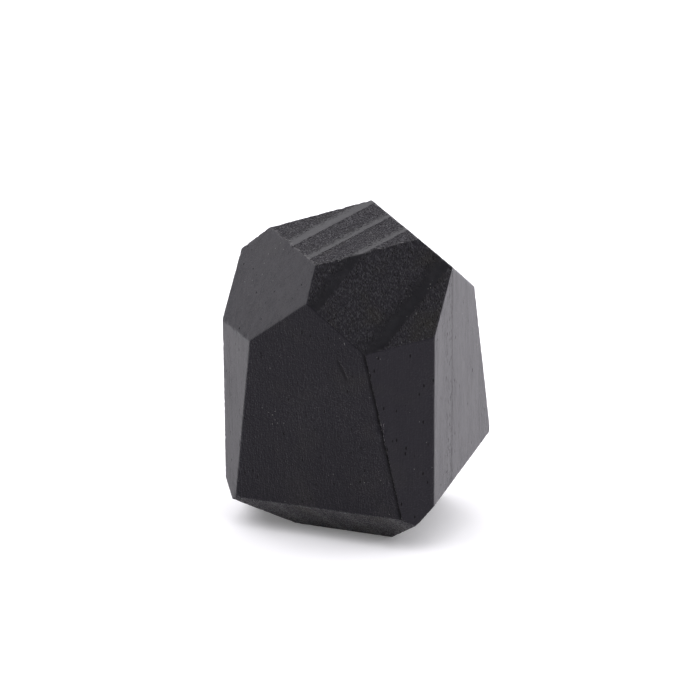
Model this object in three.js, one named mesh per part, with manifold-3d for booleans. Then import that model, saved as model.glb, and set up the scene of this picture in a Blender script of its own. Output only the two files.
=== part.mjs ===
// A faceted block of black-stained, ring-porous hardwood that stands on a small flat base.
// The block is planed from a sawn billet whose grain runs upright, along Z. Its nodes are the
// growth layers of the wood, which stand as upright slabs side by side: each year the tree
// lays down a porous earlywood and then a dense latewood on the bark side of it.
// Millimetres, +Z up, front towards -Y. The origin is under the middle of the block, on the floor.

import * as THREE from "three";
import { mergeVertices } from "three/addons/utils/BufferGeometryUtils.js";
import Module from "manifold-3d";

const wasm = await Module();
wasm.setup();

// The sawn billet.
const billetWidth = 49;
const billetDepth = 41;
const billetHeight = 60;

// The facets planed off it. A facet's bearing turns from the front towards the right and its
// tilt raises its outward normal above level, both in degrees. Its cut is how far the facet
// lies inside the billet corner that stands furthest out in that direction.
const facets = [
  { name: "top", bearing: -25, tilt: 70, cut: 11.4 },
  { name: "upper left", bearing: -51, tilt: 27, cut: 19.0 },
  { name: "shoulder", bearing: 4.5, tilt: 25, cut: 11.3 },
  { name: "front", bearing: -22.5, tilt: -6.5, cut: 14.5 },
  { name: "right front", bearing: 10, tilt: 0, cut: 4.4 },
  { name: "right", bearing: 60, tilt: 0, cut: 10.6 },
  { name: "left", bearing: -56, tilt: -1, cut: 10.2 },
  { name: "front underside", bearing: -22, tilt: -46, cut: 14.0 },
  { name: "toe", bearing: 75, tilt: -50, cut: 12.8 },
  { name: "right underside", bearing: 78.5, tilt: -40, cut: 13.9 },
  { name: "right heel", bearing: 122, tilt: -4, cut: 12.6 },
  { name: "right back", bearing: 113, tilt: 9.5, cut: 15.5 },
  { name: "right top", bearing: 112, tilt: 46, cut: 19.3 },
  { name: "back right", bearing: 148, tilt: -4, cut: 11.6 },
  { name: "back", bearing: 177, tilt: 4, cut: 6.0 },
  { name: "back underside", bearing: 168, tilt: -44, cut: 9.5 },
  { name: "back top", bearing: -159, tilt: 40.5, cut: 20.9 },
  { name: "back left", bearing: -148, tilt: -5, cut: 9.9 },
  { name: "left top", bearing: -110, tilt: 7, cut: 11.4 },
  { name: "left back", bearing: -107, tilt: -0.5, cut: 8.1 },
  { name: "left heel", bearing: -95, tilt: -21, cut: 6.0 },
  { name: "left underside", bearing: -75, tilt: -65.5, cut: 7.2 },
];

// The annual rings, counted from the bark side of the block, which faces this bearing. Each
// width is measured square to the ring. The first ring's latewood was planed away with the
// billet, and the last ring's earlywood runs on to the heart side of the block.
const barkBearing = 31;
const rings = [
  { name: "ring_1", latewood: 0, earlywood: 3.3 },
  { name: "ring_2", latewood: 2.1, earlywood: 5.6 },
  { name: "ring_3", latewood: 1.7, earlywood: 3.6 },
  { name: "ring_4", latewood: 1.7, earlywood: 3.6 },
  { name: "ring_5", latewood: 2.5, earlywood: 5.4 },
  { name: "ring_6", latewood: 1.9, earlywood: 4.4 },
  { name: "ring_7", latewood: 1.8, earlywood: Infinity },
];

// The slit left between neighbouring layers, so that their solids never overlap.
const layerGap = 0.3;

const earlywoodFinish = { color: 0x232325, roughness: 0.9, metalness: 0 };
const latewoodFinish = { color: 0x19191b, roughness: 0.55, metalness: 0 };

// Far enough to reach past the billet on every side.
const clearOfBillet = 2 * (billetWidth + billetDepth + billetHeight);

// The direction that a facet or a ring faces.
function facing(bearing, tilt) {
  const turn = THREE.MathUtils.degToRad(bearing);
  const rise = THREE.MathUtils.degToRad(tilt);
  return new THREE.Vector3(
    Math.sin(turn) * Math.cos(rise),
    -Math.cos(turn) * Math.cos(rise),
    Math.sin(rise),
  );
}

// The closed solid of a three.js geometry.
function solidOf(geometry) {
  const bare = geometry.clone();
  bare.deleteAttribute("normal");
  bare.deleteAttribute("uv");
  const merged = mergeVertices(bare);
  return new wasm.Manifold(
    new wasm.Mesh({
      numProp: 3,
      vertProperties: merged.attributes.position.array,
      triVerts: merged.index.array,
    }),
  );
}

// The three.js geometry of a solid.
function geometryOf(solid) {
  const mesh = solid.getMesh();
  const geometry = new THREE.BufferGeometry();
  geometry.setAttribute("position", new THREE.BufferAttribute(mesh.vertProperties, 3));
  geometry.setIndex(new THREE.BufferAttribute(mesh.triVerts, 1));
  geometry.computeVertexNormals();
  geometry.computeBoundingBox();
  return geometry;
}

// Everything that lies further out than reach in the given direction, as a very large block.
function beyond(direction, reach) {
  const waste = new THREE.BoxGeometry(clearOfBillet, clearOfBillet, clearOfBillet);
  const turn = new THREE.Quaternion().setFromUnitVectors(new THREE.Vector3(0, 0, 1), direction);
  const middle = direction.clone().multiplyScalar(reach + clearOfBillet / 2);
  const placing = new THREE.Matrix4().compose(middle, turn, new THREE.Vector3(1, 1, 1));
  return solidOf(waste.applyMatrix4(placing));
}

// How far out the billet's furthest corner stands in a direction. Its base is at Z = 0.
function billetReach(direction) {
  return (
    (Math.abs(direction.x) * billetWidth) / 2 +
    (Math.abs(direction.y) * billetDepth) / 2 +
    Math.max(direction.z, 0) * billetHeight
  );
}

// How far out a geometry's furthest corner stands in a direction.
function furthestReach(geometry, direction) {
  const position = geometry.attributes.position;
  const corner = new THREE.Vector3();
  let reach = -Infinity;
  for (let i = 0; i < position.count; i += 1) {
    corner.fromBufferAttribute(position, i);
    reach = Math.max(reach, corner.dot(direction));
  }
  return reach;
}

function sawnBillet() {
  const box = new THREE.BoxGeometry(billetWidth, billetDepth, billetHeight);
  return solidOf(box.translate(0, 0, billetHeight / 2));
}

function planedBlock() {
  let block = sawnBillet();
  for (const facet of facets) {
    const direction = facing(facet.bearing, facet.tilt);
    block = block.subtract(beyond(direction, billetReach(direction) - facet.cut));
  }
  return block;
}

// One growth layer: the part of the block between two upright planes square to the bark's
// bearing, each given by its reach. It keeps half a gap to a neighbour, and a reach that is
// infinite leaves the block's own surface alone on that side.
function growthLayer(block, barkward, outerReach, innerReach) {
  let layer = block;
  if (Number.isFinite(outerReach)) {
    layer = layer.subtract(beyond(barkward, outerReach - layerGap / 2));
  }
  if (Number.isFinite(innerReach)) {
    const heartward = barkward.clone().negate();
    layer = layer.subtract(beyond(heartward, -(innerReach + layerGap / 2)));
  }
  return geometryOf(layer);
}

function layerMesh(name, geometry, finish) {
  const material = new THREE.MeshStandardMaterial({ ...finish, flatShading: true });
  const mesh = new THREE.Mesh(geometry, material);
  mesh.name = name;
  return mesh;
}

const block = planedBlock();
const blockGeometry = geometryOf(block);
const barkward = facing(barkBearing, 0);
const woodBlock = new THREE.Group();

// From the bark inwards, each ring starts with its latewood and goes on with its earlywood.
const barkSide = furthestReach(blockGeometry, barkward);
let depth = 0;
for (const ring of rings) {
  const layers = [
    { name: `${ring.name}_latewood`, width: ring.latewood, finish: latewoodFinish },
    { name: `${ring.name}_earlywood`, width: ring.earlywood, finish: earlywoodFinish },
  ];
  for (const layer of layers.filter((candidate) => candidate.width > 0)) {
    const outerReach = depth > 0 ? barkSide - depth : Infinity;
    depth += layer.width;
    const geometry = growthLayer(block, barkward, outerReach, barkSide - depth);
    woodBlock.add(layerMesh(layer.name, geometry, layer.finish));
  }
}

// The block's middle goes over the origin.
const middle = blockGeometry.boundingBox.getCenter(new THREE.Vector3());
woodBlock.position.set(-middle.x, -middle.y, 0);

export default woodBlock;
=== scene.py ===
"""Growth layers, stain and studio for a faceted block of black-stained hardwood."""

import math

import bmesh
import bpy
from mathutils import Matrix, Vector, noise


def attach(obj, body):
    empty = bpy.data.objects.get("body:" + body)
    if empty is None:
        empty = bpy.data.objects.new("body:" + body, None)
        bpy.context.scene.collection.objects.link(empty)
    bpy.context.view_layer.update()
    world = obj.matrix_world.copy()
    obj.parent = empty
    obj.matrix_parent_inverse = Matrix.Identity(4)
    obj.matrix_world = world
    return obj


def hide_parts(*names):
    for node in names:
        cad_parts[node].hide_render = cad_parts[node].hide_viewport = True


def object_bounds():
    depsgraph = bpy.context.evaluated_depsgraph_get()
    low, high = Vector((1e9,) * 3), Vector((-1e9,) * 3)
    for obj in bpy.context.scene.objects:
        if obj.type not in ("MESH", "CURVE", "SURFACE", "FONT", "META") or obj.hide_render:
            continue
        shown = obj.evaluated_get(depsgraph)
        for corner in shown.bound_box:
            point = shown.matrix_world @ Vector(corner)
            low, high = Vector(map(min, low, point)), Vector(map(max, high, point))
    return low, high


bl_info = {
    "name": "Black Faceted Wood Block",
    "version": (1, 0, 0),
    "blender": (4, 5, 0),
    "location": "View3D > Sidebar > Wood Block",
    "description": "Makes the growth layers of a faceted, black-stained block of hardwood",
    "category": "Object",
}

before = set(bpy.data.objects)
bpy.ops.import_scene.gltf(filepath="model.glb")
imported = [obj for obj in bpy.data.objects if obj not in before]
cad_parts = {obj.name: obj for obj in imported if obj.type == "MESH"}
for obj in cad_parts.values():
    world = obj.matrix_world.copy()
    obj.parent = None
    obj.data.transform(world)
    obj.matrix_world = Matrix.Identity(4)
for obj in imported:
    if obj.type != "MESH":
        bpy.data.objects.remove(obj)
CAD_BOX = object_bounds()

UP = Vector((0, 0, 1))


# ---------------------------------------------------------------- sizes and colours


class BlockShape(bpy.types.PropertyGroup):
    """Sizes of the block's surface that the frame doesn't give."""

    bark_bearing: bpy.props.FloatProperty(
        name="Bark bearing",
        description="Direction that the growth rings' bark side faces, from the front to the right",
        default=math.radians(31),
        unit="ROTATION",
    )
    unfilled_bearing: bpy.props.FloatProperty(
        name="Unfilled bearing",
        description="Direction that the facet whose pores the stain left open faces",
        default=math.radians(60),
        unit="ROTATION",
    )
    arris_round: bpy.props.FloatProperty(
        name="Arris rounding",
        description="How far the rounding of an edge reaches onto each facet",
        default=0.0002,
        precision=5,
        unit="LENGTH",
    )
    fineness: bpy.props.FloatProperty(
        name="Fineness",
        description="Spacing of the grid that the surface is divided into before it is roughened",
        default=0.00027,
        precision=5,
        unit="LENGTH",
    )
    planing_wave: bpy.props.FloatProperty(
        name="Planing wave",
        description="Height of the long shallow waves that planing leaves on a facet",
        default=0.00004,
        precision=6,
        unit="LENGTH",
    )
    earlywood_recess: bpy.props.FloatProperty(
        name="Earlywood recess",
        description="How far sanding wears the soft earlywood below the latewood beside it",
        default=0.00007,
        precision=6,
        unit="LENGTH",
    )
    end_grain_depth: bpy.props.FloatProperty(
        name="End grain depth",
        description="Depth of the pits that torn vessels leave where a facet crosses the grain",
        default=0.00014,
        precision=6,
        unit="LENGTH",
    )
    underside_contrast: bpy.props.FloatProperty(
        name="Underside contrast",
        description="How clearly the rings show on the roughly sawn undersides",
        default=0.25,
        subtype="FACTOR",
        min=0,
        max=1,
    )
    arris_nibble: bpy.props.FloatProperty(
        name="Arris nibbles",
        description="Depth of the small losses along the edges",
        default=0.00014,
        precision=6,
        unit="LENGTH",
    )
    lip_depth: bpy.props.FloatProperty(
        name="Lip depth",
        description="Depth of the groove beside the front edge that the nick sits on",
        default=0.0002,
        precision=6,
        unit="LENGTH",
    )
    scratch_top: bpy.props.FloatVectorProperty(
        name="Scratch top",
        description="Upper end of the scratch on the front facet",
        default=(-0.00331, -0.01785, 0.03612),
        subtype="XYZ",
    )
    scratch_bottom: bpy.props.FloatVectorProperty(
        name="Scratch bottom",
        description="Lower end of the scratch on the front facet",
        default=(-0.00172, -0.01808, 0.03263),
        subtype="XYZ",
    )
    scratch_width: bpy.props.FloatProperty(
        name="Scratch width",
        description="Distance from the scratch's middle at which it has faded",
        default=0.00022,
        precision=5,
        unit="LENGTH",
    )
    nick_place: bpy.props.FloatVectorProperty(
        name="Nick place",
        description="Where the one larger nick sits on the front edge",
        default=(0.0045, -0.0197, 0.0240),
        subtype="XYZ",
    )
    nick_radius: bpy.props.FloatProperty(
        name="Nick radius",
        description="Reach of the nick along the edge",
        default=0.0011,
        precision=5,
        unit="LENGTH",
    )
    nick_depth: bpy.props.FloatProperty(
        name="Nick depth",
        description="Depth of the nick",
        default=0.00035,
        precision=6,
        unit="LENGTH",
    )


class StainLook(bpy.types.PropertyGroup):
    """Colours and roughness of the stained wood."""

    side_grain_colour: bpy.props.FloatVectorProperty(
        name="Side grain",
        description="Stain where a facet runs along the grain",
        default=(0.0098, 0.0089, 0.0126),
        subtype="COLOR",
        min=0,
        max=1,
    )
    flat_grain_colour: bpy.props.FloatVectorProperty(
        name="Flat grain",
        description="Thinner stain where a facet along the grain lies parallel to the rings",
        default=(0.0195, 0.0180, 0.0230),
        subtype="COLOR",
        min=0,
        max=1,
    )
    latewood_colour: bpy.props.FloatVectorProperty(
        name="Latewood",
        description="Stain on dense latewood that is cut across the grain",
        default=(0.0020, 0.0017, 0.0038),
        subtype="COLOR",
        min=0,
        max=1,
    )
    earlywood_colour: bpy.props.FloatVectorProperty(
        name="Earlywood",
        description="Stain in the hollows of porous earlywood that is cut across the grain",
        default=(0.0210, 0.0203, 0.0240),
        subtype="COLOR",
        min=0,
        max=1,
    )
    torn_fibre_colour: bpy.props.FloatVectorProperty(
        name="Torn fibres",
        description="Thinner stain on the torn fibre ends of the earlywood",
        default=(0.041, 0.0395, 0.045),
        subtype="COLOR",
        min=0,
        max=1,
    )
    thin_stain_colour: bpy.props.FloatVectorProperty(
        name="Thin stain",
        description="Yellowish tint where the stain is thin",
        default=(0.036, 0.034, 0.027),
        subtype="COLOR",
        min=0,
        max=1,
    )
    # Painted shade: the open pores, the pits in the torn earlywood, the groove beside the nick and the
    # scratch are coloured darker than the stain, for the shade in their hollows.
    pore_shade_colour: bpy.props.FloatVectorProperty(
        name="Pores",
        description="Inside of the open pores",
        default=(0.002, 0.002, 0.002),
        subtype="COLOR",
        min=0,
        max=1,
    )
    dust_colour: bpy.props.FloatVectorProperty(
        name="Dust",
        description="Specks of dust on the surface",
        default=(0.22, 0.22, 0.21),
        subtype="COLOR",
        min=0,
        max=1,
    )
    side_grain_roughness: bpy.props.FloatProperty(
        name="Side grain roughness",
        description="Roughness of a facet that runs along the grain",
        default=0.48,
        subtype="FACTOR",
        min=0,
        max=1,
    )
    latewood_roughness: bpy.props.FloatProperty(
        name="Latewood roughness",
        description="Roughness of the dense latewood where it is cut across the grain",
        default=0.45,
        subtype="FACTOR",
        min=0,
        max=1,
    )
    earlywood_roughness: bpy.props.FloatProperty(
        name="Earlywood roughness",
        description="Roughness of the porous earlywood where it is cut across the grain",
        default=0.85,
        subtype="FACTOR",
        min=0,
        max=1,
    )
    # Partly real wear, partly painted highlight: a light colour along the arrises, strongest where they
    # face up, for stain rubbed thin and for the light that the rounded edges catch.
    rubbed_and_highlight_colour: bpy.props.FloatVectorProperty(
        name="Rubbed arris",
        description="Thin stain along an edge that crosses the grain",
        default=(0.15, 0.145, 0.145),
        subtype="COLOR",
        min=0,
        max=1,
    )
    side_grain_polish: bpy.props.FloatProperty(
        name="Side grain polish",
        description="How strongly the duller front facets along the grain are burnished",
        default=0.08,
        subtype="FACTOR",
        min=0,
        max=1,
    )
    burnished_polish: bpy.props.FloatProperty(
        name="Burnished polish",
        description="How strongly the other facets along the grain are burnished",
        default=0.9,
        subtype="FACTOR",
        min=0,
        max=1,
    )
    latewood_polish: bpy.props.FloatProperty(
        name="Latewood polish",
        description="How strongly planing has burnished the dense latewood",
        default=0.9,
        subtype="FACTOR",
        min=0,
        max=1,
    )
    polish_roughness: bpy.props.FloatProperty(
        name="Polish roughness",
        description="Roughness of the burnished surface",
        default=0.35,
        subtype="FACTOR",
        min=0,
        max=1,
    )
    shine: bpy.props.FloatProperty(
        name="Shine",
        description="Strength of the mirror-like reflection of the stain below its polish",
        default=0.05,
        subtype="FACTOR",
        min=0,
        max=1,
    )
    side_grain_bloom: bpy.props.FloatProperty(
        name="Side grain bloom",
        description="Strength of the soft light that planed side grain throws back at a flat angle",
        default=0.42,
        subtype="FACTOR",
        min=0,
        max=1,
    )
    end_grain_bloom: bpy.props.FloatProperty(
        name="End grain bloom",
        description="Strength of the soft light that cut fibre ends throw back at a flat angle",
        default=0.15,
        subtype="FACTOR",
        min=0,
        max=1,
    )
    bloom_roughness: bpy.props.FloatProperty(
        name="Bloom roughness",
        description="How widely the soft light spreads",
        default=0.4,
        subtype="FACTOR",
        min=0,
        max=1,
    )
    bloom_tint: bpy.props.FloatVectorProperty(
        name="Bloom tint",
        description="Colour of the soft light",
        default=(0.96, 0.92, 0.96),
        subtype="COLOR",
        min=0,
        max=1,
    )


class StudioLook(bpy.types.PropertyGroup):
    """Camera and light."""

    elevation: bpy.props.FloatProperty(
        name="Camera elevation",
        description="Angle of the camera above the horizon",
        default=math.radians(20),
        unit="ROTATION",
    )
    lens: bpy.props.FloatProperty(
        name="Lens",
        description="Focal length of the camera, in millimetres",
        default=400,
        min=1,
    )
    field: bpy.props.FloatProperty(
        name="Field",
        description="Width of the picture at the block",
        default=0.1254,
        unit="LENGTH",
    )
    aim: bpy.props.FloatVectorProperty(
        name="Aim",
        description="How far right of and above the block's middle the camera points",
        size=2,
        default=(-0.00119, 0.00185),
        precision=5,
        unit="LENGTH",
    )
    room_strength: bpy.props.FloatProperty(
        name="Room strength",
        description="Brightness of the pale room around the block",
        default=0.01,
        min=0,
    )
    floor_glow: bpy.props.FloatProperty(
        name="Floor glow",
        description="How strongly the paper is lit from below",
        default=0.17,
        min=0,
    )
    overhead_watts: bpy.props.FloatProperty(
        name="Overhead softbox",
        description="Power of the softbox above the block",
        default=38,
        unit="POWER",
    )
    right_watts: bpy.props.FloatProperty(
        name="Right softbox",
        description="Power of the low softbox behind the block on the right",
        default=8.0,
        unit="POWER",
    )
    left_watts: bpy.props.FloatProperty(
        name="Left softbox",
        description="Power of the low softbox behind the block on the left",
        default=2.4,
        unit="POWER",
    )


# ---------------------------------------------------------------- shape


def level_direction(bearing):
    """The level direction at a bearing from the front, turning to the right."""
    return Vector((math.sin(bearing), -math.cos(bearing), 0))


def span(node, direction):
    """Lowest and highest reach of a CAD node along a direction."""
    reaches = [vertex.co.dot(direction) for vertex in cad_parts[node].data.vertices]
    return min(reaches), max(reaches)


def facet_planes(barkward):
    """Normal and reach of every planed facet, read off the faces of the CAD layers."""
    same_direction = 0.99999
    same_reach = 0.00005
    planes = []
    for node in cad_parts.values():
        for face in node.data.polygons:
            normal = face.normal.copy()
            if abs(normal.dot(barkward)) > same_direction:
                continue
            reach = face.center.dot(normal)
            for plane in planes:
                is_parallel = normal.dot(plane["normal"]) > same_direction
                if is_parallel and abs(reach - plane["reach"]) < same_reach:
                    if face.area > plane["area"]:
                        plane.update(normal=normal, reach=reach, area=face.area)
                    break
            else:
                planes.append({"normal": normal, "reach": reach, "area": face.area})
    return planes


def growth_layers(barkward):
    """Each CAD layer's name with the reach of its heart side and bark side, the slits shared out."""
    spans = sorted(((span(name, barkward), name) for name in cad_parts), reverse=True)
    layers = []
    for i, ((heart, bark), name) in enumerate(spans):
        has_outer = i > 0
        has_inner = i + 1 < len(spans)
        layers.append({
            "name": name,
            "bark": (bark + spans[i - 1][0][0]) / 2 if has_outer else bark,
            "heart": (heart + spans[i + 1][0][1]) / 2 if has_inner else heart,
            "open_bark": has_outer,
            "open_heart": has_inner,
        })
    return layers


def everything(bm):
    """All the parts of a bmesh, as its operators take them."""
    return bm.verts[:] + bm.edges[:] + bm.faces[:]


def saw(bm, normal, reach, **keep):
    """Cuts a bmesh along the plane at that reach, and returns the edges of the cut."""
    snap = 1e-7
    cut = bmesh.ops.bisect_plane(
        bm, geom=everything(bm), dist=snap, plane_co=normal * reach, plane_no=normal, **keep
    )
    return [part for part in cut["geom_cut"] if isinstance(part, bmesh.types.BMEdge)]


def planed_block(planes, arris_round):
    """The whole block with its facets planed and its arrises eased."""
    oversize = 1.2
    weld = 1e-6
    lo, hi = CAD_BOX
    bm = bmesh.new()
    bmesh.ops.create_cube(bm, size=1.0)
    sizes = Matrix.Diagonal((hi - lo) * oversize).to_4x4()
    bmesh.ops.transform(bm, matrix=Matrix.Translation((lo + hi) / 2) @ sizes, verts=bm.verts[:])
    for plane in planes:
        edges = saw(bm, plane["normal"], plane["reach"], clear_outer=True)
        bmesh.ops.edgeloop_fill(bm, edges=edges)
    bmesh.ops.remove_doubles(bm, verts=bm.verts[:], dist=weld)
    bmesh.ops.bevel(
        bm,
        geom=bm.edges[:],
        offset=arris_round,
        offset_type="OFFSET",
        segments=3,
        profile=0.5,
        affect="EDGES",
        clamp_overlap=True,
        material=-1,
    )
    return bm


def slice_along(bm, direction, spacing):
    """Divides a bmesh by parallel planes a spacing apart, on a lattice that all layers share."""
    reaches = [vertex.co.dot(direction) for vertex in bm.verts]
    first = math.floor(min(reaches) / spacing) + 1
    last = math.ceil(max(reaches) / spacing)
    for step in range(first, last):
        saw(bm, direction, step * spacing)


def layer_shell(block, layer, barkward, fineness):
    """The outer surface of one growth layer, open along its ring planes and finely divided."""
    bm = block.copy()
    if layer["open_bark"]:
        saw(bm, barkward, layer["bark"], clear_outer=True)
    if layer["open_heart"]:
        saw(bm, barkward, layer["heart"], clear_inner=True)
    for direction in (UP, UP.cross(barkward), barkward):
        slice_along(bm, direction, fineness)
    return bm


def arris_distance(point, planes):
    """How far a point of the surface is from the nearest arris: its second smallest depth."""
    depths = sorted(plane["reach"] - point.dot(plane["normal"]) for plane in planes)
    return max(depths[1], 0.0)


def lip_line(planes, shape):
    """Place and direction of the edge that the nick sits on, and the way the facet on its left faces."""
    place = Vector(shape.nick_place)
    nearest = sorted(planes, key=lambda plane: plane["reach"] - place.dot(plane["normal"]))[:2]
    left, right = sorted((plane["normal"] for plane in nearest), key=lambda normal: normal.x)
    return {"place": place, "along": left.cross(right).normalized(), "left": left}


def lip_strength(point, normal, lip):
    """The narrow wandering groove that the plane left just beside the nick's edge, from 0 to 1."""
    same_facet = 0.9
    from_edge = 0.00035
    half_width = 0.00026
    wander = 0.00015
    bends_per_metre = 420
    patches_per_metre = 250
    if normal.dot(lip["left"]) < same_facet:
        return 0.0
    from_nick = point - lip["place"]
    height = from_nick.dot(lip["along"])
    offset = (from_nick - lip["along"] * height).length
    middle = from_edge + wander * noise.noise(Vector((height * bends_per_metre, 0, 0)))
    across = (offset - middle) / half_width
    patchy = 0.8 + 0.5 * noise.noise(Vector((height * patches_per_metre, 5, 0)))
    return patchy * math.exp(-across * across)


def scratch_strength(point, shape):
    """The short straight scratch on the front facet, from 0 to its deepest."""
    deepest = 0.5
    top = Vector(shape.scratch_top)
    down = Vector(shape.scratch_bottom) - top
    along = min(max((point - top).dot(down) / down.length_squared, 0.0), 1.0)
    across = (point - top - down * along).length / shape.scratch_width
    return deepest * math.exp(-across * across)


def wear(point, season, from_ring, is_latewood, is_torn, arris, lip, shape):
    """How far the surface is worn back at a point, in metres."""
    waves_per_metre = 140
    nibbles_per_metre = 1300
    nibble_reach = 0.0003
    recess_reach = 0.0006
    pits_per_metre = 2100
    pit_stretch = 0.25
    chips_per_metre = 2500
    lost = shape.planing_wave * (0.5 + 0.5 * noise.noise(point * waves_per_metre))
    near = math.exp(-arris / nibble_reach)
    nibble = max(noise.noise(point * nibbles_per_metre + Vector((7, 3, 1))) - 0.1, 0.0)
    if is_torn:
        nibble *= 2
    if is_torn and not is_latewood:
        lost += shape.earlywood_recess * (1 - season) * min(from_ring / recess_reach, 1.0)
        squashed = Vector((point.x, point.y, point.z * pit_stretch))
        pits = max(noise.noise(squashed * pits_per_metre), 0.0)
        lost += shape.end_grain_depth * pits * (1.1 - season)
    lost += shape.arris_nibble * near * nibble
    lost += shape.lip_depth * lip
    nick = (point - Vector(shape.nick_place)).length / shape.nick_radius
    if nick < 1:
        ragged = 0.7 + 0.6 * noise.noise(point * chips_per_metre)
        lost += shape.nick_depth * (1 - nick * nick) * ragged
    return lost


def density(reach, layer, is_latewood):
    """From -2 in earlywood to 2 in latewood: it turns sharply at a ring's end, and slowly within it."""
    abrupt = 0.00015
    gradual = 0.0009
    most = 2.0
    from_bark = layer["bark"] - reach
    from_heart = reach - layer["heart"]
    if is_latewood:
        return min(from_bark / abrupt, from_heart / gradual, most)
    return -min(from_bark / gradual, from_heart / abrupt, most)


def is_cut_across(normal, barkward):
    """True for a facet that shows the rings: a level one, or a leaning one that faces the bark."""
    level = 0.6
    leaning = 0.3
    facing_bark = 0.6
    tilt = abs(normal.z)
    return tilt > level or (tilt > leaning and normal.dot(barkward) > facing_bark)


def kept_in_plane(place, normal, barkward, reach):
    """The place slid along its facet until it is back in its ring plane."""
    shallowest = 0.01
    along = barkward - normal * normal.dot(barkward)
    return place + along * (reach - place.dot(barkward)) / max(along.length_squared, shallowest)


def surface_attributes(bm):
    """The values at each point of the surface that the materials read by name."""
    names = ("arris", "dense", "flat", "burnish", "porous", "lip")
    return {name: bm.verts.layers.float.new(name) for name in names}


def weathered(bm, layer, barkward, planes, shape):
    """Wears the shell's surface back and keeps its rims in their ring planes."""
    underside = -0.3
    facing_unfilled = 0.95
    arris_fade = 0.0005
    steep_rub = 0.35
    upward_highlight = 0.65
    front_limit = 0.85
    front_fade = 0.25
    marks = surface_attributes(bm)
    is_latewood = layer["name"].endswith("latewood")
    width = layer["bark"] - layer["heart"]
    bm.normal_update()
    edge = lip_line(planes, shape)
    unfilled = level_direction(shape.unfilled_bearing)
    moved = []
    for vertex in bm.verts:
        normal = vertex.normal
        reach = vertex.co.dot(barkward)
        from_heart = reach - layer["heart"]
        season = min(max(from_heart / width, 0.0), 1.0)
        arris = arris_distance(vertex.co, planes)
        lip = max(lip_strength(vertex.co, normal, edge), scratch_strength(vertex.co, shape))
        is_under = normal.z < underside
        is_torn = is_cut_across(normal, barkward) and not is_under
        is_unfilled = not is_latewood and normal.dot(unfilled) > facing_unfilled
        contrast = shape.underside_contrast if is_under else 1
        # The arris mark grows where an edge faces up: painted highlight from the overhead light, on top of
        # real rubbing.
        rub = steep_rub + upward_highlight * max(normal.z, 0.0)
        vertex[marks["arris"]] = math.exp(-arris / arris_fade) * rub
        vertex[marks["dense"]] = density(reach, layer, is_latewood) * contrast
        vertex[marks["flat"]] = max(normal.dot(barkward), 0.0)
        vertex[marks["burnish"]] = min(max((front_limit + normal.y) / front_fade, 0.0), 1.0)
        vertex[marks["porous"]] = 1 - season if is_unfilled else 0.0
        vertex[marks["lip"]] = lip
        lost = wear(vertex.co, season, from_heart, is_latewood, is_torn, arris, lip, shape)
        place = vertex.co - normal * lost
        if vertex.is_boundary:
            place = kept_in_plane(place, normal, barkward, reach)
        moved.append(place)
    for vertex, place in zip(bm.verts, moved):
        vertex.co = place


def growth_layer_piece(layer, block, barkward, planes, shape, materials):
    """One growth layer as a finished, closed piece, in end grain and side grain."""
    end_grain, side_grain = range(2)
    bm = layer_shell(block, layer, barkward, shape.fineness)
    bm.normal_update()
    for face in bm.faces:
        face.smooth = True
        face.material_index = end_grain if is_cut_across(face.normal, barkward) else side_grain
    weathered(bm, layer, barkward, planes, shape)
    rims = [edge for edge in bm.edges if edge.is_boundary]
    for edge in rims:
        edge.smooth = False
    bmesh.ops.holes_fill(bm, edges=rims, sides=0)
    bmesh.ops.recalc_face_normals(bm, faces=bm.faces[:])
    mesh = bpy.data.meshes.new(layer["name"])
    bm.to_mesh(mesh)
    bm.free()
    for material in materials:
        mesh.materials.append(material)
    piece = bpy.data.objects.new(layer["name"] + "_wood", mesh)
    bpy.context.scene.collection.objects.link(piece)
    return piece


def make_layers(season_name):
    """Makes every growth layer of one season, on its body and in place of its CAD node."""
    shape = bpy.context.scene.block_shape
    look = bpy.context.scene.stain_look
    marks = surface_marks()
    end_grain = end_grain_material("stained " + season_name, look, marks)
    side_grain = bpy.data.materials.get("stained side grain") or side_grain_material(look, marks)
    barkward = level_direction(shape.bark_bearing)
    planes = facet_planes(barkward)
    block = planed_block(planes, shape.arris_round)
    for layer in growth_layers(barkward):
        if not layer["name"].endswith(season_name):
            continue
        piece = growth_layer_piece(layer, block, barkward, planes, shape, (end_grain, side_grain))
        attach(piece, "root")
        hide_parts(layer["name"])
    block.free()


# ---------------------------------------------------------------- stain and grain


def add(tree, kind, inputs=(), **settings):
    """Adds a node, gives it its settings, and fills each input with a socket or a value."""
    node = tree.nodes.new(kind)
    for name, value in settings.items():
        setattr(node, name, value)
    for name, value in dict(inputs).items():
        if isinstance(value, bpy.types.NodeSocket):
            tree.links.new(value, node.inputs[name])
        else:
            node.inputs[name].default_value = value
    return node


def calculate(tree, operation, *values):
    """One step of arithmetic on sockets and numbers."""
    numbered = dict(enumerate(values))
    return add(tree, "ShaderNodeMath", numbered, operation=operation).outputs["Value"]


def remap(tree, value, low, high, to_low=0.0, to_high=1.0):
    """Stretches a range of a value to another one, easing in and out, and clamps it."""
    inputs = {"Value": value, "From Min": low, "From Max": high, "To Min": to_low, "To Max": to_high}
    node = add(tree, "ShaderNodeMapRange", inputs, interpolation_type="SMOOTHSTEP")
    return node.outputs["Result"]


def soft_noise(tree, place, scale, detail, roughness=0.5):
    """Uneven cloudiness between 0 and 1."""
    inputs = {"Vector": place, "Scale": scale, "Detail": detail, "Roughness": roughness}
    return add(tree, "ShaderNodeTexNoise", inputs).outputs["Fac"]


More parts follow.
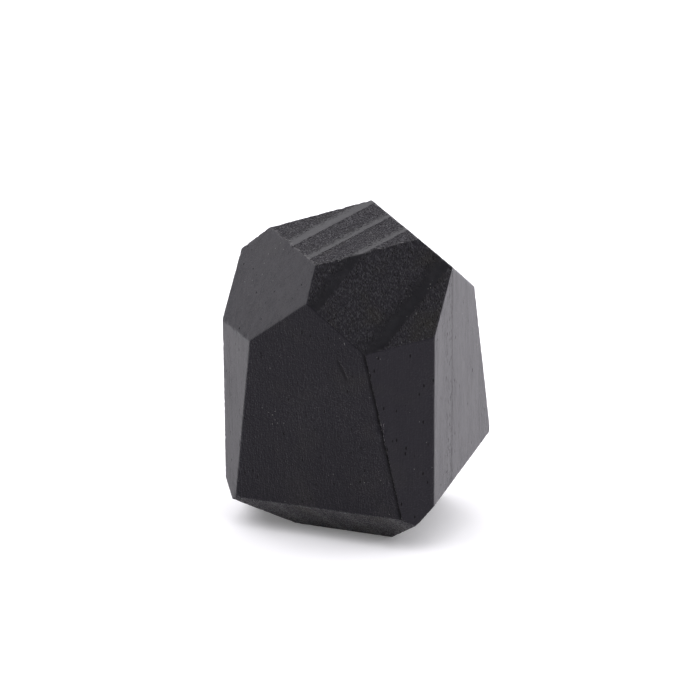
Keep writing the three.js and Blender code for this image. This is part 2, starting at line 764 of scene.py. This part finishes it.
def blend_colours(tree, amount, first, second):
    """A mix of two colours, each a socket or three numbers."""
    node = tree.nodes.new("ShaderNodeMix")
    node.data_type = "RGBA"
    colours = [socket for socket in node.inputs if socket.type == "RGBA"]
    for socket, colour in zip(colours, (first, second)):
        if isinstance(colour, bpy.types.NodeSocket):
            tree.links.new(colour, socket)
        else:
            socket.default_value = (*colour, 1.0)
    tree.links.new(amount, node.inputs["Factor"])
    return next(socket for socket in node.outputs if socket.type == "RGBA")


def blend_values(tree, amount, first, second):
    """A mix of two values, each a socket or a number."""
    inputs = {"Value": amount, "From Min": 0.0, "From Max": 1.0, "To Min": first, "To Max": second}
    return add(tree, "ShaderNodeMapRange", inputs).outputs["Result"]


def new_group(name, inputs, outputs):
    """A shader node group with float or vector inputs and float outputs."""
    group = bpy.data.node_groups.new(name, "ShaderNodeTree")
    for socket, default in inputs.items():
        kind = "NodeSocketVector" if socket == "Place" else "NodeSocketFloat"
        made = group.interface.new_socket(name=socket, in_out="INPUT", socket_type=kind)
        if kind == "NodeSocketFloat":
            made.default_value = default
    for socket in outputs:
        group.interface.new_socket(name=socket, in_out="OUTPUT", socket_type="NodeSocketFloat")
    given = group.nodes.new("NodeGroupInput")
    result = group.nodes.new("NodeGroupOutput")
    return group, given.outputs, result.inputs


def stretched(group, place, across, along, shift=0.0):
    """Places divided by a size across the grain and a length along it."""
    sizes = add(group, "ShaderNodeCombineXYZ", {"X": across, "Y": across, "Z": along})
    terms = {0: place, 1: sizes.outputs["Vector"]}
    divided = add(group, "ShaderNodeVectorMath", terms, operation="DIVIDE")
    terms = {0: divided.outputs["Vector"], 1: (shift, shift, shift)}
    return add(group, "ShaderNodeVectorMath", terms, operation="ADD").outputs["Vector"]


def fleck_group():
    """Separate small marks: long ones on side grain, round ones where the grain is cut across."""
    sizes = {"Place": None, "Width": 0.0004, "Length": 0.004, "Size": 0.4, "Rarity": 0.5}
    group, given, result = new_group("Flecks", sizes, ["Fleck"])
    place = stretched(group, given["Place"], given["Width"], given["Length"])
    cells = add(group, "ShaderNodeTexVoronoi", {"Vector": place, "Scale": 1.0, "Randomness": 1.0})
    core = calculate(group, "MULTIPLY", given["Size"], 0.5)
    inside = remap(group, cells.outputs["Distance"], given["Size"], core)
    choice = add(group, "ShaderNodeSeparateColor", {"Color": cells.outputs["Color"]})
    chosen = calculate(group, "GREATER_THAN", choice.outputs["Red"], given["Rarity"])
    group.links.new(calculate(group, "MULTIPLY", inside, chosen), result["Fleck"])
    return group


def fibre_group():
    """Fine streaks of fibres along the grain, which show as specks where it is cut across."""
    sizes = {"Place": None, "Width": 0.00015, "Length": 0.006}
    group, given, result = new_group("Wood Fibres", sizes, ["Fine", "Broad"])
    fine_place = stretched(group, given["Place"], given["Width"], given["Length"])
    fine = soft_noise(group, fine_place, scale=1.0, detail=3.0, roughness=0.6)
    width = calculate(group, "MULTIPLY", given["Width"], 7.0)
    length = calculate(group, "MULTIPLY", given["Length"], 5.0)
    broad_place = stretched(group, given["Place"], width, length, shift=3.7)
    broad = soft_noise(group, broad_place, scale=1.0, detail=2.0)
    group.links.new(fine, result["Fine"])
    group.links.new(broad, result["Broad"])
    return group


def rub_and_highlight_group():
    """Where hands and tools have rubbed the stain thin along the arrises, with a painted highlight along
    them.
    """
    inputs = {"Place": None, "Arris": 0.0, "Amount": 0.5}
    group, given, result = new_group("Rubbed Arris Highlight", inputs, ["Rub"])
    patches = soft_noise(group, given["Place"], scale=900.0, detail=3.0)
    uneven = remap(group, patches, 0.35, 0.7)
    edge = remap(group, given["Arris"], 0.45, 0.95)
    strength = calculate(group, "MULTIPLY", edge, given["Amount"])
    group.links.new(calculate(group, "MULTIPLY", strength, uneven), result["Rub"])
    return group


def surface_marks():
    """The node groups that the kinds of wood share, built the first time that they are asked for."""
    groups = bpy.data.node_groups
    return {
        "flecks": groups.get("Flecks") or fleck_group(),
        "fibres": groups.get("Wood Fibres") or fibre_group(),
        "rub": groups.get("Rubbed Arris Highlight") or rub_and_highlight_group(),
    }


def placed_group(tree, group, inputs):
    """The outputs of a node group placed in a material."""
    return add(tree, "ShaderNodeGroup", inputs, node_tree=group).outputs


def flecks(tree, marks, place, **sizes):
    """A mask of separate marks, by their width, length, size and rarity."""
    inputs = {name.capitalize(): value for name, value in sizes.items()}
    return placed_group(tree, marks["flecks"], {"Place": place, **inputs})["Fleck"]


def fibres(tree, marks, place, width, length):
    """The fine and the broad streaks of fibres of one size."""
    inputs = {"Place": place, "Width": width, "Length": length}
    return placed_group(tree, marks["fibres"], inputs)


def rubbed(tree, marks, place, amount):
    """A mask of the stain that is rubbed thin along the arrises, and of the painted highlight on them."""
    inputs = {"Place": place, "Arris": attribute(tree, "arris"), "Amount": amount}
    return placed_group(tree, marks["rub"], inputs)["Rub"]


def new_material(name):
    """A material with its node tree, its shader and its object coordinates."""
    material = bpy.data.materials.new(name)
    material.use_nodes = True
    tree = material.node_tree
    tree.nodes.clear()
    shader = tree.nodes.new("ShaderNodeBsdfPrincipled")
    output = tree.nodes.new("ShaderNodeOutputMaterial")
    tree.links.new(shader.outputs["BSDF"], output.inputs["Surface"])
    place = tree.nodes.new("ShaderNodeTexCoord").outputs["Object"]
    return material, tree, shader, place


def stain_gloss(shader, look, bloom, polish_roughness):
    """Sets the parts of the stain's gloss that are the same all over."""
    shader.inputs["Specular IOR Level"].default_value = look.shine
    shader.inputs["Coat Roughness"].default_value = polish_roughness
    shader.inputs["Sheen Weight"].default_value = bloom
    shader.inputs["Sheen Roughness"].default_value = look.bloom_roughness
    shader.inputs["Sheen Tint"].default_value = (*look.bloom_tint, 1.0)


def attribute(tree, name):
    """One of the values that the surface carries at each point."""
    return add(tree, "ShaderNodeAttribute", attribute_name=name).outputs["Fac"]


def dust(tree, place, marks, colour, look):
    """The colour with a few specks of dust that gather in loose clusters."""
    specks = flecks(tree, marks, place, width=0.0009, length=0.0009, size=0.1, rarity=0.3)
    clusters = remap(tree, soft_noise(tree, place, scale=110.0, detail=2.0), 0.5, 0.62)
    shown = calculate(tree, "MULTIPLY", specks, clusters)
    return blend_colours(tree, shown, colour, look.dust_colour)


def bumpy(tree, shader, height, distance):
    """Gives a shader the relief of a height map."""
    inputs = {"Height": height, "Distance": distance, "Strength": 1.0}
    bump = add(tree, "ShaderNodeBump", inputs)
    tree.links.new(bump.outputs["Normal"], shader.inputs["Normal"])


def end_grain_material(name, look, marks):
    """Wood cut across the grain: torn, pitted earlywood that turns into dense, burnished latewood."""
    pit_relief = 0.5
    latewood_relief = 0.08
    material, tree, shader, place = new_material(name)
    stain_gloss(shader, look, look.end_grain_bloom, look.polish_roughness)
    ragged = soft_noise(tree, place, scale=2500.0, detail=3.0)
    shift = remap(tree, ragged, 0.3, 0.7, to_low=-0.6, to_high=0.6)
    late = remap(tree, calculate(tree, "ADD", attribute(tree, "dense"), shift), -0.2, 1.3)
    streaks = fibres(tree, marks, place, width=0.00024, length=0.0009)
    pits = flecks(tree, marks, place, width=0.00032, length=0.003, size=0.42, rarity=0.4)
    torn_ends = remap(tree, streaks["Fine"], 0.42, 0.62)
    torn = blend_colours(tree, torn_ends, look.earlywood_colour, look.torn_fibre_colour)
    cloud = soft_noise(tree, place, scale=160.0, detail=3.0)
    thin = remap(tree, cloud, 0.5, 0.75, to_high=0.6)
    torn = blend_colours(tree, thin, torn, look.thin_stain_colour)
    # Painted shade: the pits of the torn vessels are coloured darker than the stain, for the shade inside
    # them.
    torn = blend_colours(tree, pits, torn, look.pore_shade_colour)
    mottle = soft_noise(tree, place, scale=700.0, detail=3.0)
    mottled = remap(tree, mottle, 0.45, 0.75, to_high=0.35)
    dense = blend_colours(tree, mottled, look.latewood_colour, look.earlywood_colour)
    colour = blend_colours(tree, late, torn, dense)
    # Light arrises: stain rubbed thin, with painted highlight.
    colour = blend_colours(tree, rubbed(tree, marks, place, amount=1.0), colour, look.rubbed_and_highlight_colour)
    tree.links.new(dust(tree, place, marks, colour, look), shader.inputs["Base Color"])
    rough = blend_values(tree, late, look.earlywood_roughness, look.latewood_roughness)
    tree.links.new(rough, shader.inputs["Roughness"])
    sparkle = remap(tree, streaks["Fine"], 0.53, 0.62)
    polished = calculate(tree, "MAXIMUM", late, sparkle)
    coat = calculate(tree, "MULTIPLY", polished, look.latewood_polish)
    tree.links.new(coat, shader.inputs["Coat Weight"])
    hollow = calculate(tree, "MULTIPLY", pits, pit_relief)
    relief = calculate(tree, "SUBTRACT", streaks["Fine"], hollow)
    height = calculate(tree, "MULTIPLY", relief, blend_values(tree, late, 1.0, latewood_relief))
    bumpy(tree, shader, height, distance=0.0008)
    return material


def shaded_pores_and_grooves(tree, marks, place):
    """Marks along the grain painted dark for the shade in their hollows: scattered pores, rows of them at
    a ring's start, the groove beside the nick and the scratch.
    """
    crowding = 0.75
    ring_line = 0.3
    sparse = flecks(tree, marks, place, width=0.0008, length=0.0022, size=0.2, rarity=0.72)
    crowded = flecks(tree, marks, place, width=0.0003, length=0.0013, size=0.46, rarity=0.25)
    porous = remap(tree, attribute(tree, "porous"), 0.3, 1.0, to_high=crowding)
    rows = calculate(tree, "MULTIPLY", crowded, porous)
    pores = calculate(tree, "MAXIMUM", sparse, rows)
    # Painted shade: the groove beside the nick and the scratch are darkened like the pores.
    pores_and_groove_shade = calculate(tree, "MAXIMUM", pores, attribute(tree, "lip"))
    ring_start = calculate(tree, "MULTIPLY", remap(tree, porous, 0.66, crowding), ring_line)
    return calculate(tree, "MAXIMUM", pores_and_groove_shade, ring_start)


def side_grain_material(look, marks):
    """Wood planed along the grain: smooth and satin, with fine streaks, open pores and small scuffs, and
    painted shade in the pores and grooves.
    """
    smooth = look.side_grain_roughness
    streaky = smooth + 0.1
    pore_roughness = 0.95
    broad_relief = 0.5
    grain_relief = 0.8
    material, tree, shader, place = new_material("stained side grain")
    stain_gloss(shader, look, look.side_grain_bloom, smooth)
    streaks = fibres(tree, marks, place, width=0.00016, length=0.003)
    pores = shaded_pores_and_grooves(tree, marks, place)
    flat = remap(tree, attribute(tree, "flat"), 0.7, 0.95)
    colour = blend_colours(tree, flat, look.side_grain_colour, look.flat_grain_colour)
    blotch = soft_noise(tree, place, scale=130.0, detail=4.0)
    thin = remap(tree, blotch, 0.5, 0.8, to_high=0.2)
    colour = blend_colours(tree, thin, colour, look.thin_stain_colour)
    scuffs = flecks(tree, marks, place, width=0.00032, length=0.00032, size=0.42, rarity=0.4)
    patches = remap(tree, soft_noise(tree, place, scale=75.0, detail=2.0), 0.45, 0.65, to_high=0.6)
    scuffed = calculate(tree, "MULTIPLY", scuffs, patches)
    colour = blend_colours(tree, scuffed, colour, look.torn_fibre_colour)
    # Light arrises: stain rubbed thin, with painted highlight.
    colour = blend_colours(tree, rubbed(tree, marks, place, amount=0.3), colour, look.torn_fibre_colour)
    # Painted shade in the pores, the groove beside the nick and the scratch.
    colour = blend_colours(tree, pores, colour, look.pore_shade_colour)
    tree.links.new(dust(tree, place, marks, colour, look), shader.inputs["Base Color"])
    rough = remap(tree, streaks["Fine"], 0.3, 0.7, smooth, streaky)
    tree.links.new(blend_values(tree, pores, rough, pore_roughness), shader.inputs["Roughness"])
    fine = remap(tree, streaks["Fine"], 0.3, 0.7, to_low=0.7, to_high=1.3)
    broad = remap(tree, streaks["Broad"], 0.3, 0.7, to_low=0.85, to_high=1.15)
    uneven = calculate(tree, "MULTIPLY", fine, broad)
    closed = calculate(tree, "SUBTRACT", 1.0, pores)
    burnish = blend_values(tree, attribute(tree, "burnish"), look.side_grain_polish, look.burnished_polish)
    polish = calculate(tree, "MULTIPLY", calculate(tree, "MULTIPLY", uneven, closed), burnish)
    tree.links.new(calculate(tree, "MINIMUM", polish, 1.0), shader.inputs["Coat Weight"])
    grain = soft_noise(tree, place, scale=3000.0, detail=2.0)
    broad_height = calculate(tree, "MULTIPLY", streaks["Broad"], broad_relief)
    streaked = calculate(tree, "ADD", streaks["Fine"], broad_height)
    height = calculate(tree, "ADD", streaked, calculate(tree, "MULTIPLY", grain, grain_relief))
    bumpy(tree, shader, height, distance=0.00016)
    return material


def floor_material(glow):
    """Matt white paper, lit a little from below."""
    darker = (0.90, 0.90, 0.90)
    lighter = (0.92, 0.92, 0.92)
    material, tree, shader, place = new_material("white paper floor")
    tint = soft_noise(tree, place, scale=900.0, detail=2.0)
    colour = blend_colours(tree, tint, darker, lighter)
    tree.links.new(colour, shader.inputs["Base Color"])
    tree.links.new(colour, shader.inputs["Emission Color"])
    shader.inputs["Emission Strength"].default_value = glow
    shader.inputs["Roughness"].default_value = 0.9
    shader.inputs["Specular IOR Level"].default_value = 0.2
    return material


# ---------------------------------------------------------------- studio


def softbox(name, place, size, watts, target):
    """A rectangular soft light that faces a target."""
    faint_violet = (1.0, 0.985, 1.03)
    light = bpy.data.lights.new(name, "AREA")
    light.shape = "RECTANGLE"
    light.size, light.size_y = size
    light.energy = watts
    light.color = faint_violet
    lamp = bpy.data.objects.new(name, light)
    lamp.location = place
    lamp.rotation_euler = (Vector(target) - Vector(place)).to_track_quat("-Z", "Y").to_euler()
    lamp.visible_camera = False
    bpy.context.scene.collection.objects.link(lamp)


def paper_floor(glow):
    """A wide sheet of white paper under the block."""
    bm = bmesh.new()
    half_width = 3.0
    bmesh.ops.create_grid(bm, x_segments=1, y_segments=1, size=half_width)
    mesh = bpy.data.meshes.new("paper_floor")
    bm.to_mesh(mesh)
    bm.free()
    mesh.materials.append(floor_material(glow))
    floor = bpy.data.objects.new("paper_floor", mesh)
    bpy.context.scene.collection.objects.link(floor)


def studio_camera(look, middle):
    """A long lens that looks down at the block from the front."""
    camera = bpy.data.cameras.new("camera")
    camera.lens = look.lens
    distance = look.field * camera.lens / camera.sensor_width
    back = Vector((0, -math.cos(look.elevation), math.sin(look.elevation)))
    above = Vector((0, math.sin(look.elevation), math.cos(look.elevation)))
    target = middle + Vector((look.aim[0], 0, 0)) + above * look.aim[1]
    viewer = bpy.data.objects.new("camera", camera)
    viewer.location = target + back * distance
    viewer.rotation_euler = (-back).to_track_quat("-Z", "Y").to_euler()
    camera.clip_start = 0.01
    camera.clip_end = 50.0
    bpy.context.scene.collection.objects.link(viewer)
    bpy.context.scene.camera = viewer


def room_light(strength):
    """Even light from a pale room."""
    world = bpy.data.worlds.new("pale room")
    world.use_nodes = True
    background = world.node_tree.nodes["Background"]
    background.inputs["Color"].default_value = (1.0, 1.0, 1.0, 1.0)
    background.inputs["Strength"].default_value = strength
    bpy.context.scene.world = world


# ---------------------------------------------------------------- operators


class WOODBLOCK_OT_earlywood(bpy.types.Operator):
    """Makes the porous earlywood layers"""

    bl_idname = "woodblock.earlywood"
    bl_label = "Earlywood Layers"

    def execute(self, context):
        make_layers("earlywood")
        return {"FINISHED"}


class WOODBLOCK_OT_latewood(bpy.types.Operator):
    """Makes the dense latewood layers"""

    bl_idname = "woodblock.latewood"
    bl_label = "Latewood Layers"

    def execute(self, context):
        make_layers("latewood")
        return {"FINISHED"}


class WOODBLOCK_OT_studio(bpy.types.Operator):
    """Makes the paper floor, the soft lights and the camera"""

    bl_idname = "woodblock.studio"
    bl_label = "Studio"

    def execute(self, context):
        look = context.scene.studio_look
        lo, hi = CAD_BOX
        middle = (lo + hi) / 2
        paper_floor(look.floor_glow)
        room_light(look.room_strength)
        above, behind_right, behind_left = (0.0, 0.1, 1.0), (0.9, 0.5, 0.15), (-0.8, 0.45, 0.35)
        softbox("overhead_softbox", above, (2.4, 2.4), look.overhead_watts, middle)
        softbox("right_softbox", behind_right, (0.9, 0.28), look.right_watts, middle)
        softbox("left_softbox", behind_left, (0.6, 0.7), look.left_watts, middle)
        studio_camera(look, middle)
        context.scene.view_settings.view_transform = "Standard"
        return {"FINISHED"}


class WOODBLOCK_PT_panel(bpy.types.Panel):
    """Lists the block's operators and its sizes and colours"""

    bl_label = "Wood Block"
    bl_idname = "WOODBLOCK_PT_panel"
    bl_space_type = "VIEW_3D"
    bl_region_type = "UI"
    bl_category = "Wood Block"

    def draw(self, context):
        layout = self.layout
        for operator in (WOODBLOCK_OT_earlywood, WOODBLOCK_OT_latewood, WOODBLOCK_OT_studio):
            layout.operator(operator.bl_idname)
        scene = context.scene
        for settings in (scene.block_shape, scene.stain_look, scene.studio_look):
            box = layout.box()
            for name in settings.bl_rna.properties.keys():
                if name not in {"rna_type", "name"}:
                    box.prop(settings, name)


CLASSES = (
    BlockShape,
    StainLook,
    StudioLook,
    WOODBLOCK_OT_earlywood,
    WOODBLOCK_OT_latewood,
    WOODBLOCK_OT_studio,
    WOODBLOCK_PT_panel,
)


def register():
    for kind in CLASSES:
        bpy.utils.register_class(kind)
    bpy.types.Scene.block_shape = bpy.props.PointerProperty(type=BlockShape)
    bpy.types.Scene.stain_look = bpy.props.PointerProperty(type=StainLook)
    bpy.types.Scene.studio_look = bpy.props.PointerProperty(type=StudioLook)


def unregister():
    del bpy.types.Scene.studio_look
    del bpy.types.Scene.stain_look
    del bpy.types.Scene.block_shape
    for kind in reversed(CLASSES):
        bpy.utils.unregister_class(kind)


def main():
    register()
    bpy.ops.woodblock.studio()
    bpy.ops.woodblock.latewood()
    bpy.ops.woodblock.earlywood()


if __name__ == "__main__":
    main()
